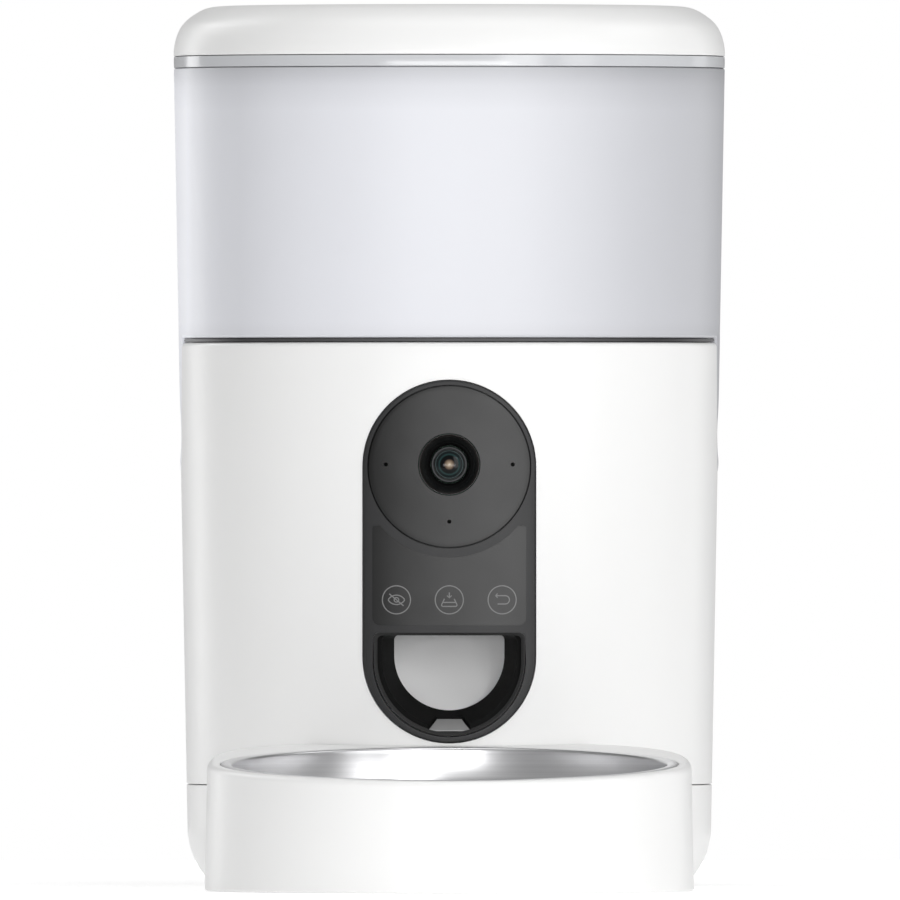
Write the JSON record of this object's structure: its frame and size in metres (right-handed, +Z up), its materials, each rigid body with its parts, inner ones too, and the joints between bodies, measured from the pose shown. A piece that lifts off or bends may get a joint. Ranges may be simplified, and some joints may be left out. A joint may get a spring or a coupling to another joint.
{
  "type": "automatic pet feeder with camera",
  "caption": "Automatic pet feeder: a lidded hopper on a drafted body with a camera and touch panel, a portion rotor and chute, and a steel bowl in a tray.",
  "frame": {"origin": "bottom centre of the whole part's bounding box, at the level the feet and the tray stand on", "axes": "+Z up, the bowl and the camera face -Y, +X to the right seen from the front"},
  "size_m": [0.1948, 0.3592, 0.3097],
  "materials": {
    "white_shell": "satin",
    "frosted_shell": "satin, slightly see-through",
    "black_shell": "satin",
    "dark_panel": "gloss",
    "dark_rubber": "matte",
    "pale_silicone": "matte",
    "mid_grey": "satin",
    "inner_grey": "satin",
    "polished_steel": "polished",
    "zinc_plate": "satin",
    "circuit_board": "satin",
    "lens_glass": "clear"
  },
  "bodies": {
    "housing": {"base_pan": "white_shell", "main_shell": "white_shell", "rear_panel": "white_shell", "front_panel": "black_shell", "lens_hood": "black_shell", "outlet_sleeve": "black_shell", "speaker": "black_shell", "camera_disc": "dark_panel", "lens_barrel": "dark_panel", "touch_panel": "dark_panel", "deck_gasket": "dark_rubber", "foot_front_left": "dark_rubber", "foot_front_right": "dark_rubber", "foot_rear_left": "dark_rubber", "foot_rear_right": "dark_rubber", "hopper_well": "inner_grey", "battery_box": "inner_grey", "food_chute": "inner_grey", "gear_case": "inner_grey", "gear_lid": "inner_grey", "base_screw_1": "zinc_plate", "base_screw_2": "zinc_plate", "base_screw_3": "zinc_plate", "base_screw_4": "zinc_plate", "rear_screw_1": "zinc_plate", "rear_screw_2": "zinc_plate", "battery_contact_left": "zinc_plate", "battery_contact_right": "zinc_plate", "power_socket": "zinc_plate", "drive_motor": "zinc_plate", "shaft_bush": "zinc_plate", "main_board": "circuit_board", "camera_board": "circuit_board", "touch_board": "circuit_board", "lens_glass": "lens_glass"},
    "battery_cover": {"battery_cover": "white_shell"},
    "reset_button": {"reset_button": "mid_grey"},
    "drive": {"output_gear": "white_shell", "output_shaft": "zinc_plate", "output_coupler": "mid_grey"},
    "pinion": {"motor_pinion": "white_shell"},
    "hopper": {"hopper_bucket": "frosted_shell", "hopper_rim": "frosted_shell", "portion_chamber": "inner_grey", "portion_baffle": "inner_grey"},
    "rotor": {"portion_rotor": "white_shell", "stirrer": "pale_silicone"},
    "lid": {"lid_shell": "white_shell", "lid_liner": "white_shell", "lid_seal": "pale_silicone", "sachet_cup": "white_shell"},
    "sachet_cap": {"sachet_cap": "white_shell"},
    "tray": {"bowl_tray": "white_shell"},
    "bowl": {"steel_bowl": "polished_steel"}
  },
  "joints": [
    {"name": "lid_lift", "type": "slide", "parent": "hopper", "child": "lid", "axis": [0, 0, 1], "range_m": [0, 0.06]},
    {"name": "cap_turn", "type": "hinge", "parent": "lid", "child": "sachet_cap", "pos_m": [0, 0.0822, 0.2762], "axis": [0, 0, 1], "range_deg": [0, 30]},
    {"name": "hopper_lift", "type": "slide", "parent": "housing", "child": "hopper", "axis": [0, 0, 1], "range_m": [0, 0.13]},
    {"name": "drive_spin", "type": "hinge", "parent": "housing", "child": "drive", "pos_m": [0, 0.0822, 0.1012], "axis": [0, 0, 1], "continuous": true},
    {"name": "rotor_spin", "type": "hinge", "parent": "hopper", "child": "rotor", "pos_m": [0, 0.0822, 0.1282], "axis": [0, 0, 1], "continuous": true},
    {"name": "pinion_spin", "type": "hinge", "parent": "housing", "child": "pinion", "pos_m": [0, 0.1052, 0.1012], "axis": [0, 0, 1], "continuous": true},
    {"name": "tray_pull", "type": "slide", "parent": "housing", "child": "tray", "axis": [0, -1, 0], "range_m": [0, 0.06]},
    {"name": "bowl_lift", "type": "slide", "parent": "tray", "child": "bowl", "axis": [0, -0.0668, 0.9978], "range_m": [0, 0.05]},
    {"name": "reset_press", "type": "slide", "parent": "housing", "child": "reset_button", "axis": [0, -1, 0], "range_m": [0, 0.0012], "stiffness_N_per_m": 400},
    {"name": "battery_cover_slide", "type": "slide", "parent": "housing", "child": "battery_cover", "axis": [0, 1, 0], "range_m": [0, 0.1]}
  ],
  "couplings": [
    {"joint": "rotor_spin", "follows": "drive_spin", "ratio": 1},
    {"joint": "pinion_spin", "follows": "drive_spin", "ratio": -2.2857}
  ]
}
